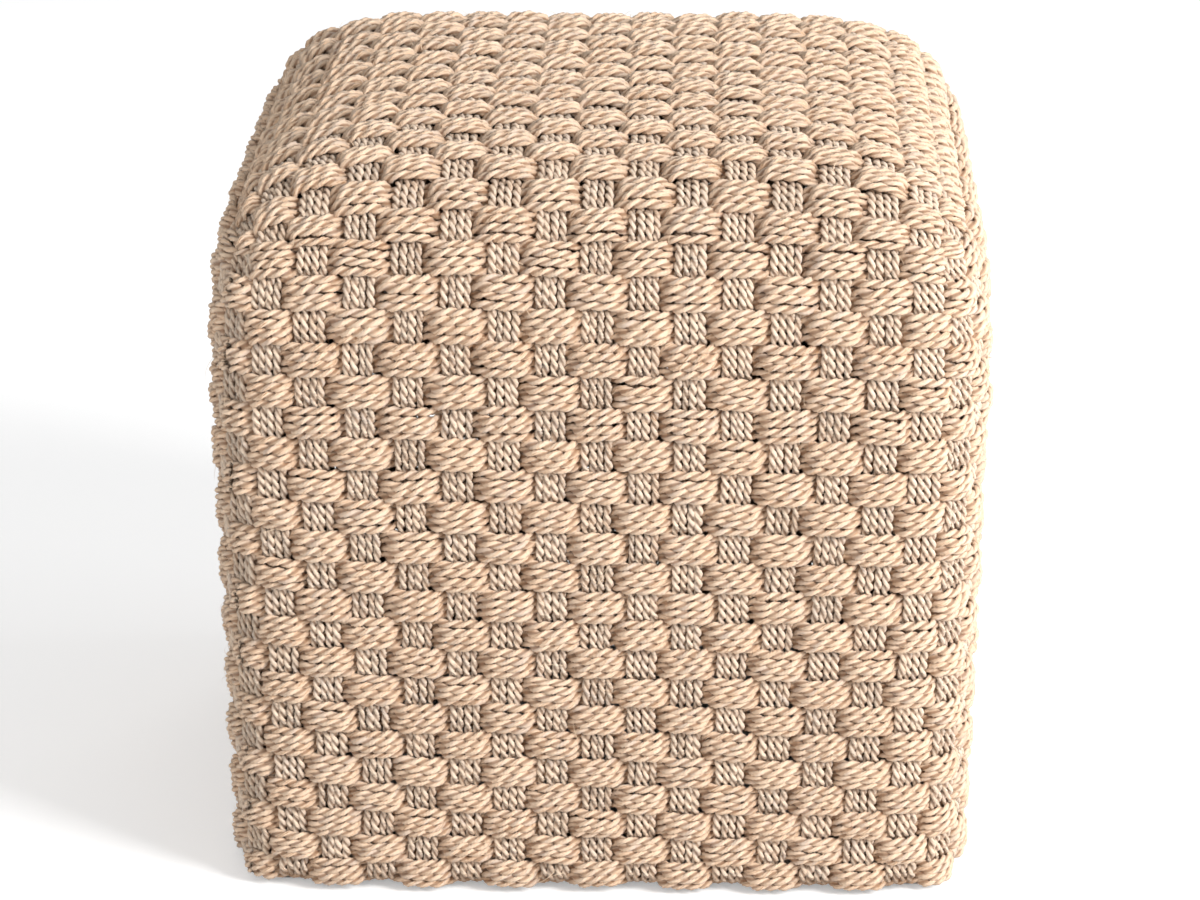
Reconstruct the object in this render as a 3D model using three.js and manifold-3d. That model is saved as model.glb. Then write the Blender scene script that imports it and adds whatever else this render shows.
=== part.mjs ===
// A square outdoor ottoman footstool, hand woven in twisted cord over a tube frame.
// Lengths are in millimetres and +Z is up. The origin lies on the floor under the middle of the stool.
// The cover has two layers. Outside lie the hoops that go round the four sides, joined here into one
// panel a side, and the bands that cross the top from left to right. Inside lie the bands that run
// from front to back over the top, and the upright bands of the left and right sides, joined here by
// the strip that they hang from. The over and under of the weaving shows in the outer layer, whose
// outer face lies back where it passes under. The inner layer keeps to its own depth.
import * as THREE from "three";
import { mergeVertices } from "three/addons/utils/BufferGeometryUtils.js";
import Module from "manifold-3d";

const manifold = await Module();
manifold.setup();

// The cover's outer shape
const WIDTH = 457; // widest, left to right and front to back
const HEIGHT = 457; // floor to the middle of the crowned top
const WIDEST_HEIGHT = 300; // where the sides stop widening and start to round over
const TAPER = 7; // how far each side draws in from the widest height to the floor
const COVER_BASE = 5; // the cover's lower edge above the floor
const PLAN_POWER = 10; // higher is a sharper vertical edge
const CROWN_POWER = 4; // higher is a flatter top with a sharper edge

// The woven layers
const HOOP_THICK = 4.6;
const HOOP_GROOVE = 3.2; // depth of the groove between two hoops
const WEAVE_DEPTH = 2.8; // how far the outer face lies back where a hoop or a band passes under
const ROW_COUNT = 24;
const LOW_ROW_SHARE = 0.87; // the lowest row's height, as a share of the mean row
const PANEL_TOP_ANGLE = 47; // degrees up the rounded edge
const BAND_THICK = 4.5;
const INNER_DEPTH = 6.4; // cover's outer surface to the outer face of the inner layer
const UPRIGHT_COUNT = 15; // bands that stand on each side
const UPRIGHT_SPREAD_SHARE = 0.873; // how much of the width their pitches take up
const UPRIGHT_WIDTH_SHARE = 0.658; // a band's share of its pitch
const CROSS_COUNT = 21; // bands across the top
const CROSS_REACH_SHARE = 0.39; // stool's middle to the last band's middle, as a share of the width
const CROSS_LEAN_SHARE = 0.1; // how much closer together they lie at the front than in the middle
const CROSS_WIDTH_SHARE = 0.9; // a band's share of its pitch
const HANGER_HEIGHT = 12; // the strip that a side's upright bands hang from
const HANGER_END_SHARE = 0.33; // how far it passes the last band's middle, as a share of the band
const HANGER_ANGLE = 24; // degrees up the rounded edge, at the strip's middle
const TUCK_RADIUS = 8; // outer radius of the bend where a band turns in under the frame
const TUCK_LENGTH = 20; // how far it then reaches inwards, the bend included

// The frame
const CLEARANCE = 0.3; // between pieces that touch
const WALL = 1.5;
const POST_RADIUS = 12.5;
const RAIL_RADIUS = 10;
const BASE_RAIL_RADIUS = 9;
const SLAT_COUNT = 2;
const SLAT_WIDTH = 36;
const SLAT_THICK = 10;
const SLAT_PITCH = 130;
const SLAT_CLEARANCE = 1.3; // under the bands, because a slat is flat across its width
const SLAT_SEAT = 0.8; // between a slat and the rails
const SLAT_END_ANGLE = 32; // degrees up the rounded edge, where a slat's end lies
const BASE_RAIL_SETBACK = 19.4; // cover's outer surface to the base rail's outer side, at mid-side

// The glides
const GLIDE_RADIUS = 15;
const GLIDE_CHAMFER = 1.2;
const GLIDE_HEIGHT = 8;
const GLIDE_STEM = 14;

const HALF_WIDTH = WIDTH / 2;
const CROWN_HEIGHT = HEIGHT - WIDEST_HEIGHT;
const UPRIGHT_PITCH = (WIDTH * UPRIGHT_SPREAD_SHARE) / UPRIGHT_COUNT;
const UPRIGHT_WIDTH = UPRIGHT_PITCH * UPRIGHT_WIDTH_SHARE;
const CROSS_REACH = WIDTH * CROSS_REACH_SHARE;
const QUARTER_TURN = Math.PI / 2;
const TUBE_SIDES = 12;

// The outer surface. Seen from above it is a square with powered corners that shrinks by a scale as
// it climbs over the rounded edge, and the scale follows the same kind of curve against height.

function radians(degrees) {
  return (degrees * Math.PI) / 180;
}

function reachOf(x, y) {
  return (Math.abs(x) ** PLAN_POWER + Math.abs(y) ** PLAN_POWER) ** (1 / PLAN_POWER);
}

function halfWidthAt(z) {
  return HALF_WIDTH - (TAPER * Math.max(WIDEST_HEIGHT - z, 0)) / WIDEST_HEIGHT;
}

function crownScale(angle) {
  return Math.cos(angle) ** (2 / CROWN_POWER);
}

function crownZ(angle) {
  return WIDEST_HEIGHT + CROWN_HEIGHT * Math.sin(angle) ** (2 / CROWN_POWER);
}

// Height of the surface over a place on the plan, above the widest height.
function heightOver(x, y) {
  const scale = Math.min(reachOf(x, y) / HALF_WIDTH, 1);
  return WIDEST_HEIGHT + CROWN_HEIGHT * (1 - scale ** CROWN_POWER) ** (1 / CROWN_POWER);
}

function outwardAt(x, y, z) {
  const reach = Math.max(reachOf(x, y), CLEARANCE); // the middle of the top has no reach
  const leanX = Math.sign(x) * Math.abs(x / reach) ** (PLAN_POWER - 1);
  const leanY = Math.sign(y) * Math.abs(y / reach) ** (PLAN_POWER - 1);
  if (z <= WIDEST_HEIGHT) return new THREE.Vector3(leanX, leanY, 0).normalize();
  const side = (reach / HALF_WIDTH) ** (CROWN_POWER - 1) / HALF_WIDTH;
  const up = ((z - WIDEST_HEIGHT) / CROWN_HEIGHT) ** (CROWN_POWER - 1) / CROWN_HEIGHT;
  return new THREE.Vector3(leanX * side, leanY * side, up).normalize();
}

// A place on the surface, moved in by a depth, with the direction that points out there.
function stationAt(x, y, z, depth) {
  const outward = outwardAt(x, y, z);
  const point = new THREE.Vector3(x, y, z).addScaledVector(outward, -depth);
  return { point, outward };
}

// The depth along the front of a piece that stands at a place across it.
function frontAt(across, half) {
  return -((half ** PLAN_POWER - Math.abs(across) ** PLAN_POWER) ** (1 / PLAN_POWER));
}

// Solids

function closedMesh(points, faces) {
  const geometry = new THREE.BufferGeometry();
  const places = points.flatMap((point) => [point.x, point.y, point.z]);
  geometry.setAttribute("position", new THREE.Float32BufferAttribute(places, 3));
  geometry.setIndex(faces);
  geometry.computeVertexNormals();
  return geometry;
}

// A flat strip swept through stations. Each station is a point on its outer face, which may lie back
// by a depth there.
function stripGeometry(stations, width, thick) {
  const points = [];
  const faces = [];
  stations.forEach(({ point, outward, dip = 0 }, i) => {
    const before = stations[Math.max(i - 1, 0)].point;
    const after = stations[Math.min(i + 1, stations.length - 1)].point;
    const ahead = after.clone().sub(before);
    const aside = ahead.cross(outward).setLength(width / 2);
    const inner = point.clone().addScaledVector(outward, dip - thick);
    points.push(point.clone().sub(aside), point.clone().add(aside));
    points.push(inner.clone().add(aside), inner.clone().sub(aside));
  });
  const ring = [0, 1, 2, 3];
  const last = 4 * (stations.length - 1);
  for (let base = 0; base < last; base += 4) {
    for (const corner of ring) {
      const a = base + corner;
      const b = base + ((corner + 1) % 4);
      faces.push(a, b, b + 4, a, b + 4, a + 4);
    }
  }
  faces.push(0, 3, 2, 0, 2, 1);
  faces.push(last, last + 1, last + 2, last, last + 2, last + 3);
  return closedMesh(points, faces);
}

// A hollow round tube, open at both ends, that stands on the origin.
function tubeGeometry(radius, length, wall, sides) {
  const bore = radius - wall;
  const profile = [
    new THREE.Vector2(bore, 0),
    new THREE.Vector2(radius, 0),
    new THREE.Vector2(radius, length),
    new THREE.Vector2(bore, length),
    new THREE.Vector2(bore, 0),
  ];
  return new THREE.LatheGeometry(profile, sides).rotateX(QUARTER_TURN);
}

// Bands over the whole stool

// The end of a band, which turns in under the frame.
function tuckStations(side) {
  const flat = new THREE.Vector3(0, -1, 0);
  const down = new THREE.Vector3(0, 0, -1);
  const turned = flat.clone().add(down).normalize();
  const hub = side.point.clone().addScaledVector(flat, -TUCK_RADIUS);
  const foot = hub.clone().addScaledVector(down, TUCK_RADIUS);
  const end = foot.clone().addScaledVector(flat, TUCK_RADIUS - TUCK_LENGTH);
  return [
    { point: end, outward: down },
    { point: foot, outward: down },
    { point: hub.clone().addScaledVector(turned, TUCK_RADIUS), outward: turned },
  ];
}

// A band from its tucked end up the front and as far as its angles go.
function halfBand(across, angles) {
  const low = COVER_BASE + TUCK_RADIUS;
  const lowHalf = halfWidthAt(low);
  const lowAcross = (across * lowHalf) / HALF_WIDTH;
  const side = stationAt(lowAcross, frontAt(lowAcross, lowHalf), low, INNER_DEPTH);
  const reach = frontAt(across, HALF_WIDTH);
  const upper = angles.map((angle) => {
    const y = reach * crownScale(radians(angle));
    const z = angle === 0 ? WIDEST_HEIGHT : heightOver(across, y);
    return stationAt(across, y, z, INNER_DEPTH);
  });
  return [...tuckStations(side), side, ...upper];
}

function turnedRound({ point, outward }) {
  const turn = (v) => new THREE.Vector3(v.x, -v.y, v.z);
  return { point: turn(point), outward: turn(outward) };
}

// Degrees up the rounded edge at which a band has its sections.
const UPRIGHT_ANGLES = [0, 11, 22, 33, 45, 56, 67, 78];

function acrossOf(index, count, pitch) {
  return (index - (count - 1) / 2) * pitch;
}

// A band up the front, over the top and down the back.
function forwardBand(index) {
  const across = acrossOf(index, UPRIGHT_COUNT, UPRIGHT_PITCH);
  const half = halfBand(across, UPRIGHT_ANGLES);
  const crest = stationAt(across, 0, heightOver(across, 0), INNER_DEPTH);
  return stripGeometry([...half, crest, ...half.map(turnedRound).reverse()], UPRIGHT_WIDTH, BAND_THICK);
}

// How far a hoop or a band across the top lies back where it crosses a column. Rows are counted from
// the floor up the front and on over the top, columns from one corner of a side to the other.
function weaveDip(row, column) {
  return (WEAVE_DEPTH * (1 - Math.cos(Math.PI * (row + column)))) / 2;
}

// A band across the top. It ends beside the upper edge of the hoops, over the last forward bands.
function crossBand(index) {
  const middle = (CROSS_COUNT - 1) / 2;
  const place = index / middle - 1;
  const across = CROSS_REACH * (place - CROSS_LEAN_SHARE * (1 - place ** 2));
  const pitch = (CROSS_REACH * (1 + 2 * CROSS_LEAN_SHARE * place)) / middle;
  const width = pitch * CROSS_WIDTH_SHARE;
  const edge = Math.abs(across) + width / 2;
  const end = frontAt(edge, HALF_WIDTH * crownScale(radians(PANEL_TOP_ANGLE))) + CLEARANCE * 2;
  const crossings = [{ y: end, dip: WEAVE_DEPTH }];
  for (let i = 0; i < UPRIGHT_COUNT; i += 1) {
    const y = acrossOf(i, UPRIGHT_COUNT, UPRIGHT_PITCH);
    if (Math.abs(y) < -end - width / 2) crossings.push({ y, dip: weaveDip(ROW_COUNT + index, i + 1) });
  }
  crossings.push({ y: -end, dip: WEAVE_DEPTH });
  const stations = crossings.map(({ y, dip }) => {
    const station = stationAt(across, y, heightOver(across, y), dip);
    return { ...station, dip };
  });
  return stripGeometry(stations, width, BAND_THICK);
}

function solidOf(geometry) {
  const bare = geometry.clone();
  bare.deleteAttribute("normal");
  bare.deleteAttribute("uv");
  const merged = mergeVertices(bare);
  const mesh = new manifold.Mesh({
    numProp: 3,
    vertProperties: merged.attributes.position.array,
    triVerts: new Uint32Array(merged.index.array),
  });
  return new manifold.Manifold(mesh);
}

function geometryOf(solid) {
  const mesh = solid.getMesh();
  const geometry = new THREE.BufferGeometry();
  geometry.setAttribute("position", new THREE.BufferAttribute(mesh.vertProperties, 3));
  geometry.setIndex(new THREE.BufferAttribute(mesh.triVerts, 1));
  geometry.computeVertexNormals();
  return geometry;
}

// The upright bands of one side with the strip that they hang from.
function uprightSetGeometry() {
  const turn = radians(HANGER_ANGLE);
  const half = HALF_WIDTH * crownScale(turn);
  const z = crownZ(turn);
  const places = [];
  for (let i = UPRIGHT_COUNT - 1; i >= 0; i -= 1) places.push(acrossOf(i, UPRIGHT_COUNT, UPRIGHT_PITCH));
  const end = places[0] + UPRIGHT_WIDTH * HANGER_END_SHARE;
  const stations = [end, ...places, -end].map((across) => {
    return stationAt(across, frontAt(across, half), z, INNER_DEPTH);
  });
  let set = solidOf(stripGeometry(stations, HANGER_HEIGHT, BAND_THICK));
  const angles = UPRIGHT_ANGLES.filter((angle) => angle < HANGER_ANGLE);
  for (const across of places) {
    const strip = stripGeometry(halfBand(across, [...angles, HANGER_ANGLE]), UPRIGHT_WIDTH, BAND_THICK);
    set = set.add(solidOf(strip));
  }
  return geometryOf(set);
}

// The hoops of one side

const PROFILE_STEPS = 80; // levels over the rounded edge, from which the others are worked out

// The section's climb from the cover's lower edge to the panel's upper edge, with its arc length.
function climbProfile() {
  const profile = [{ arc: 0, half: halfWidthAt(COVER_BASE), z: COVER_BASE }];
  const add = (half, z) => {
    const last = profile[profile.length - 1];
    profile.push({ arc: last.arc + Math.hypot(half - last.half, z - last.z), half, z });
  };
  add(HALF_WIDTH, WIDEST_HEIGHT);
  for (let i = 1; i <= PROFILE_STEPS; i += 1) {
    const angle = radians((PANEL_TOP_ANGLE * i) / PROFILE_STEPS);
    add(HALF_WIDTH * crownScale(angle), crownZ(angle));
  }
  return profile;
}

function levelAt(profile, arc) {
  const next = Math.max(profile.findIndex((level) => level.arc >= arc - CLEARANCE / 1000), 1);
  const a = profile[next - 1];
  const b = profile[next];
  const share = (arc - a.arc) / (b.arc - a.arc);
  return { arc, half: a.half + (b.half - a.half) * share, z: a.z + (b.z - a.z) * share };
}

// Where one row ends and the next begins, as shares of the whole climb. Rows grow taller upwards.
function rowEdgeShares() {
  const shares = [0];
  for (let row = 0; row < ROW_COUNT; row += 1) {
    const growth = LOW_ROW_SHARE + ((2 - 2 * LOW_ROW_SHARE) * row) / (ROW_COUNT - 1);
    shares.push(shares[row] + growth / ROW_COUNT);
  }
  return shares;
}

// Places across a side, as shares of the way from its middle line to the corner's diagonal: the
// corners' own columns, a place where each corner turns, and the upright bands.
const CORNER_SHARE = 1 - CLEARANCE / HALF_WIDTH;
const TURN_SHARE = 0.93;

function sideColumns() {
  const columns = [{ column: 0, share: -CORNER_SHARE }];
  columns.push({ column: 1 / 2, share: -TURN_SHARE });
  for (let i = 0; i < UPRIGHT_COUNT; i += 1) {
    const place = acrossOf(i, UPRIGHT_COUNT, UPRIGHT_PITCH) / HALF_WIDTH;
    columns.push({ column: i + 1, share: place / (1 - Math.abs(place) ** PLAN_POWER) ** (1 / PLAN_POWER) });
  }
  columns.push({ column: UPRIGHT_COUNT + 1 / 2, share: TURN_SHARE });
  columns.push({ column: UPRIGHT_COUNT + 1, share: CORNER_SHARE });
  return columns;
}

function panelRing(level, depthAt) {
  return sideColumns().map(({ column, share }) => {
    const y = -level.half / reachOf(share, 1);
    return stationAt(-share * y, y, level.z, depthAt(column)).point;
  });
}

function sidePanelGeometry() {
  const profile = climbProfile();
  const whole = profile[profile.length - 1].arc;
  const edges = rowEdgeShares().map((share) => share * whole);
  const outer = [];
  edges.forEach((arc, i) => {
    if (i > 0) outer.push({ arc: (arc + edges[i - 1]) / 2, depthAt: (column) => weaveDip(i - 1, column) });
    outer.push({ arc: Math.min(arc, whole), depthAt: () => HOOP_GROOVE });
  });
  const straight = profile[1].arc;
  const innerShares = [0, 0.25, 0.45, 0.6, 0.75, 0.9, 1];
  const inner = [{ arc: 0 }];
  for (const share of innerShares) inner.push({ arc: straight + (whole - straight) * share });
  const outerRings = outer.map(({ arc, depthAt }) => panelRing(levelAt(profile, arc), depthAt));
  const innerRings = inner.map(({ arc }) => panelRing(levelAt(profile, arc), () => HOOP_THICK));
  const across = outerRings[0].length;
  const points = [...outerRings.flat(), ...innerRings.flat()];
  const start = outerRings.length * across;
  const outerAt = (ring, i) => ring * across + i;
  const innerAt = (ring, i) => start + ring * across + i;
  const faces = [];
  const quad = (a, b, c, d) => faces.push(a, b, c, a, c, d);
  for (let i = 0; i < across - 1; i += 1) {
    for (let ring = 0; ring < outerRings.length - 1; ring += 1) {
      quad(outerAt(ring, i), outerAt(ring, i + 1), outerAt(ring + 1, i + 1), outerAt(ring + 1, i));
    }
    for (let ring = 0; ring < innerRings.length - 1; ring += 1) {
      quad(innerAt(ring, i), innerAt(ring + 1, i), innerAt(ring + 1, i + 1), innerAt(ring, i + 1));
    }
    const top = outerRings.length - 1;
    const innerTop = innerRings.length - 1;
    quad(innerAt(0, i), innerAt(0, i + 1), outerAt(0, i + 1), outerAt(0, i));
    quad(outerAt(top, i), outerAt(top, i + 1), innerAt(innerTop, i + 1), innerAt(innerTop, i));
  }
  closeEdge(faces, outer, inner, (ring) => outerAt(ring, 0), (ring) => innerAt(ring, 0), false);
  const end = across - 1;
  closeEdge(faces, outer, inner, (ring) => outerAt(ring, end), (ring) => innerAt(ring, end), true);
  return closedMesh(points, faces);
}

// Joins the outer and the inner rings up one end of a panel, whichever ring comes next.
function closeEdge(faces, outer, inner, outerAt, innerAt, facesRight) {
  let o = 0;
  let i = 0;
  const face = (a, b, c) => (facesRight ? faces.push(a, b, c) : faces.push(a, c, b));
  while (o < outer.length - 1 || i < inner.length - 1) {
    const outerNext = o < outer.length - 1 ? outer[o + 1].arc : Infinity;
    const innerNext = i < inner.length - 1 ? inner[i + 1].arc : Infinity;
    if (outerNext <= innerNext) {
      face(outerAt(o), innerAt(i), outerAt(o + 1));
      o += 1;
    } else {
      face(outerAt(o), innerAt(i), innerAt(i + 1));
      i += 1;
    }
  }
}

// The frame's places, worked out from the cover inwards

const baseRailPlace = halfWidthAt(COVER_BASE) - BASE_RAIL_SETBACK - BASE_RAIL_RADIUS;
const baseRailZ = COVER_BASE + BAND_THICK + CLEARANCE + BASE_RAIL_RADIUS;
const postPlace = baseRailPlace - BASE_RAIL_RADIUS - CLEARANCE - POST_RADIUS;
const slatDepth = INNER_DEPTH + BAND_THICK + SLAT_CLEARANCE;

// The top rails lie under the slats' ends: on the surface that is the slat and half a rail deeper.
function topRailZ() {
  const depth = slatDepth + SLAT_THICK + SLAT_SEAT + RAIL_RADIUS;
  let low = 0;
  let high = QUARTER_TURN;
  for (let i = 0; i < PROFILE_STEPS; i += 1) {
    const angle = (low + high) / 2;
    const place = stationAt(0, -HALF_WIDTH * crownScale(angle), crownZ(angle), depth).point;
    if (-place.y > postPlace) low = angle;
    else high = angle;
  }
  return stationAt(0, -HALF_WIDTH * crownScale(low), crownZ(low), depth).point.z;
}

const railZ = topRailZ();

// Degrees up the rounded edge at which a slat has its sections.
const SLAT_ANGLES = [SLAT_END_ANGLE, 42, 54, 66, 78];

function slatGeometry(across) {
  const half = SLAT_ANGLES.map((angle) => {
    const y = -HALF_WIDTH * crownScale(radians(angle));
    return stationAt(across, y, heightOver(across, y), slatDepth);
  });
  const crest = stationAt(across, 0, heightOver(across, 0), slatDepth);
  return stripGeometry([...half, crest, ...half.map(turnedRound).reverse()], SLAT_WIDTH, SLAT_THICK);
}

function glideGeometry() {
  const stemRadius = POST_RADIUS - WALL - CLEARANCE;
  const top = GLIDE_HEIGHT - CLEARANCE;
  const profile = [
    new THREE.Vector2(0, 0),
    new THREE.Vector2(GLIDE_RADIUS - GLIDE_CHAMFER, 0),
    new THREE.Vector2(GLIDE_RADIUS, GLIDE_CHAMFER),
    new THREE.Vector2(GLIDE_RADIUS, top),
    new THREE.Vector2(stemRadius, top),
    new THREE.Vector2(stemRadius, top + GLIDE_STEM),
    new THREE.Vector2(0, top + GLIDE_STEM),
  ];
  return new THREE.LatheGeometry(profile, TUBE_SIDES).rotateX(QUARTER_TURN);
}

// The stool

function material(color, roughness, metalness) {
  return new THREE.MeshStandardMaterial({ color, roughness, metalness });
}

const cordMaterial = () => material(0xd6b68e, 0.85, 0);
const innerCordMaterial = () => material(0xc4a887, 0.85, 0);
const frameMaterial = () => material(0x8f9092, 0.45, 0.7);
const glideMaterial = () => material(0x2b2a29, 0.6, 0);

const stool = new THREE.Group();

function add(name, geometry, finish, turn = 0) {
  const mesh = new THREE.Mesh(geometry, finish);
  mesh.name = name;
  mesh.rotation.z = turn;
  stool.add(mesh);
}

const SIDES = ["front", "right", "back", "left"];
const CORNERS = ["front_right", "back_right", "back_left", "front_left"];

SIDES.forEach((side, i) => {
  add(`hoops_${side}`, sidePanelGeometry(), cordMaterial(), i * QUARTER_TURN);
});
["right", "left"].forEach((side, i) => {
  add(`uprights_${side}`, uprightSetGeometry(), innerCordMaterial(), (2 * i + 1) * QUARTER_TURN);
});
for (let i = 0; i < UPRIGHT_COUNT; i += 1) {
  add(`forward_band_${String(i + 1).padStart(2, "0")}`, forwardBand(i), innerCordMaterial());
}
for (let i = 0; i < CROSS_COUNT; i += 1) {
  add(`cross_band_${String(i + 1).padStart(2, "0")}`, crossBand(i), cordMaterial(), QUARTER_TURN);
}

// A tube laid level along a side, its middle at a place out from the stool's middle.
function addRail(name, radius, length, place, z, turn) {
  const tube = tubeGeometry(radius, length, WALL, TUBE_SIDES);
  tube.translate(0, 0, -length / 2).rotateY(QUARTER_TURN).translate(0, -place, z);
  add(name, tube, frameMaterial(), turn);
}

const longRail = 2 * (postPlace + RAIL_RADIUS);
const shortRail = 2 * (postPlace - RAIL_RADIUS - CLEARANCE);
const baseRail = 2 * (postPlace + BASE_RAIL_RADIUS / 2);

SIDES.forEach((side, i) => {
  const turn = i * QUARTER_TURN;
  addRail(`top_rail_${side}`, RAIL_RADIUS, i % 2 ? shortRail : longRail, postPlace, railZ, turn);
  addRail(`base_rail_${side}`, BASE_RAIL_RADIUS, baseRail, baseRailPlace, baseRailZ, turn);
});

const postTop = railZ - RAIL_RADIUS - CLEARANCE;

CORNERS.forEach((corner, i) => {
  const post = tubeGeometry(POST_RADIUS, postTop - GLIDE_HEIGHT, WALL, TUBE_SIDES);
  post.translate(postPlace, -postPlace, GLIDE_HEIGHT);
  add(`corner_post_${corner}`, post, frameMaterial(), i * QUARTER_TURN);
  const glide = glideGeometry().translate(postPlace, -postPlace, 0);
  add(`glide_${corner}`, glide, glideMaterial(), i * QUARTER_TURN);
});

for (let i = 0; i < SLAT_COUNT; i += 1) {
  const slat = slatGeometry((i - (SLAT_COUNT - 1) / 2) * SLAT_PITCH);
  add(`seat_slat_${i + 1}`, slat, frameMaterial(), QUARTER_TURN);
}

export default stool;
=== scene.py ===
import math
from collections import namedtuple

import bpy
import numpy as np
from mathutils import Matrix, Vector


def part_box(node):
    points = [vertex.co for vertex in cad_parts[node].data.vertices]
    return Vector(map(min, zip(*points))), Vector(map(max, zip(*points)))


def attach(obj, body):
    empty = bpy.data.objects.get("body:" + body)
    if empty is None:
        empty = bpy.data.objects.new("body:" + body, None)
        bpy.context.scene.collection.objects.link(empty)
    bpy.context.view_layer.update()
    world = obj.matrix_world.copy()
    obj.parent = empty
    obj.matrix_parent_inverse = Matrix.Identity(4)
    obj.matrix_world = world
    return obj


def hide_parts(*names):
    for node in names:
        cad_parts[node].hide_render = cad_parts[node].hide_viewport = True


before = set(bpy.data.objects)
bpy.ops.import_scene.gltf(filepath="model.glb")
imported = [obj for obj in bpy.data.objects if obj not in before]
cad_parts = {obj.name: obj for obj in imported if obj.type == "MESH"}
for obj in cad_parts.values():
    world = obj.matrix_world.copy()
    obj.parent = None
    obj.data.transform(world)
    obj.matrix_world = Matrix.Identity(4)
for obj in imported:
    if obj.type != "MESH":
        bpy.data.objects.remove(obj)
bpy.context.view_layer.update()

# A cube footstool woven from twisted cord over a tube frame. Lengths are in millimetres up to the
# point where a mesh is made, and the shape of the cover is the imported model's.

MM = 0.001

# The cover: its sides narrow towards the floor and round over into a gently domed top.

WIDTH = 457.0
HEIGHT = 457.0
WIDEST_HEIGHT = 300.0
TAPER = 7.0
COVER_BASE = 5.0
PLAN_POWER = 10
CROWN_POWER = 4
HALF_WIDTH = WIDTH / 2
CROWN_HEIGHT = HEIGHT - WIDEST_HEIGHT
LEAST_REACH = 0.3

# Rows are counted up a side, from its lower edge to the angle where the top begins. The highest two
# are bands that cross the top's edge, and the others are hoops.

ROW_COUNT = 24
HOOP_COUNT = 22
EDGE_COUNT = ROW_COUNT - HOOP_COUNT
CROSS_COUNT = 25
LOW_ROW_SHARE = 0.87
PANEL_TOP_ANGLE = 47
PROFILE_POINTS = 81
SIDE_POINTS = 801

# Columns are counted from the middle of a side, to a corner on the left and on the right.

CORNER_COLUMN = 8
COLUMNS = range(-CORNER_COLUMN, CORNER_COLUMN + 1)
COLUMN_COUNT = len(COLUMNS)
COLUMN_PITCH = 26.6
COLUMN_FLARE_SHARE = 0.089
FLARE_HEIGHTS = (40, 340)
CORNER_FIT_POWER = 6
CORNER_DROOP = 6.5
DROOP_POWER = 5
DROOPING_ROWS = (14, HOOP_COUNT)

# The twisted cord: two strands, whose common outline is a ring with two lobes.

STRAND_OFFSET = 1.16
STRAND_RADIUS = 1.68
RING_POINTS = 8
WEFT_LAY = 17.2
WARP_LAY = 13.0
WEFT_STEP = 1.75
WARP_STEP = 2.0

# The weave. Wefts are the hoops and the bands across the top, and warps are the bands that they cross.

BAND_CORDS = 4
MIDDLE_DEPTH = 6.0
SWING_SHARPNESS = 2.25
WEFT_SWING = 3.8
WEFT_WIDTH = 1.06
WEFT_WIDTH_GAIN = 0.03
USUAL_BAND_HEIGHT = 17
PASSING_WIDTH_SHARE = 0.1
PILLOW_LIFT = 1.2
PILLOW_DROP = 0.5
PILLOW_SPREAD_SHARE = 1.01
TUCK_SPREAD_SHARE = 0.88
PASSING_SPREAD_SHARE = 0.06
INNER_SLANT = 1.2
OUTER_SLANT = 0.6
WARP_SWING = 1.1
WARP_SET_IN = 0.6
WARP_CORD_PITCH = 4.4
WARP_WIDTH = 0.95
SINK_LENGTH = 20

# How uneven the weave is at its crossings, each as a spread and a limit.

SWING_UNEVEN = (0.09, 0.135)
SWAY_UNEVEN = (0.4, 0.9)
SLANT_UNEVEN = (1.5, 2.8)
SIDE_UNEVEN = (0.32, 0.7)
RISE_UNEVEN = (0.34, 0.7)

# How far a cord's values wander along it, each as an amount and the length that it takes.

DRIFT_WANDER = (0.3, 38)
HEAVE_WANDER = (0.28, 30)
WIDTH_WANDER = (0.08, 16)
TONE_WANDER = (0.3, 42)
LAY_WANDER = (0.45, 50)
PHASE_WANDER = (0.45, 32)
WANDER_SPREAD = 0.55
LEAST_WANDER_SPANS = 3

# How much whole cords differ from each other.

WIDTH_SPREAD = 0.04
TONE_SPREAD = 0.13
LAY_SPREAD = 0.04
PHASE_SPREAD = 0.5

# Where the warps turn in below: under the base rail and round its inner side, by an angle for each
# column from the middle to the corner. The bend's points say how far in and how high.

BASE_RAIL_Z = 18.8
RAIL_INWARD = 21.4
WRAP_RADIUS = 11.7
WRAP_TURNS = [150, 150, 150, 150, 150, 120, 45, 15, 0]
WRAP_STEP_ANGLE = 15
TUCK_BEND = [(0.5, 11.5), (3.0, 8.4), (7.0, 7.2), (13.0, 7.0)]
TUCK_SWING = -0.6

UP = np.array([0, 0, 1.0])
FLAT = np.array([1, 1, 0])
FRONT_TO_BACK = np.array([1, -1, 1])

rng = np.random.default_rng(20261128)


# Lines and smooth values

def unit(v):
    return v / np.linalg.norm(v, axis=-1, keepdims=True)


def smooth_step(low, high, value):
    t = np.clip((value - low) / (high - low), 0, 1)
    return t * t * (3 - 2 * t)


# How long a line is up to each of its points.
def lengths_along(line):
    return np.concatenate([[0], np.cumsum(np.linalg.norm(np.diff(line, axis=0), axis=1))])


# The points of a line at given lengths along it.
def points_at(lengths, arc, line):
    return np.stack([np.interp(lengths, arc, values) for values in line.T], -1)


# The way that a line runs at each of its points.
def heading(points, closed):
    if closed:
        return unit(np.roll(points, -1, 0) - np.roll(points, 1, 0))
    return unit(np.gradient(points, axis=0))


# Four values in a row, from the given place on. Past an end they repeat it, or go round again.
def four_from(values, first, closed):
    places = first + np.arange(4)[:, None]
    if closed:
        return values[places % len(values)]
    return values[places.clip(0, len(values) - 1)]


# A smooth curve between the middle two of four values, at a share of the way.
def curve_between(four, share):
    a, b, c, d = four
    bend = a - 2.5 * b + 2 * c - d / 2
    turn = 1.5 * (b - c) + (d - a) / 2
    return b + share * (c - a) / 2 + share ** 2 * bend + share ** 3 * turn


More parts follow.
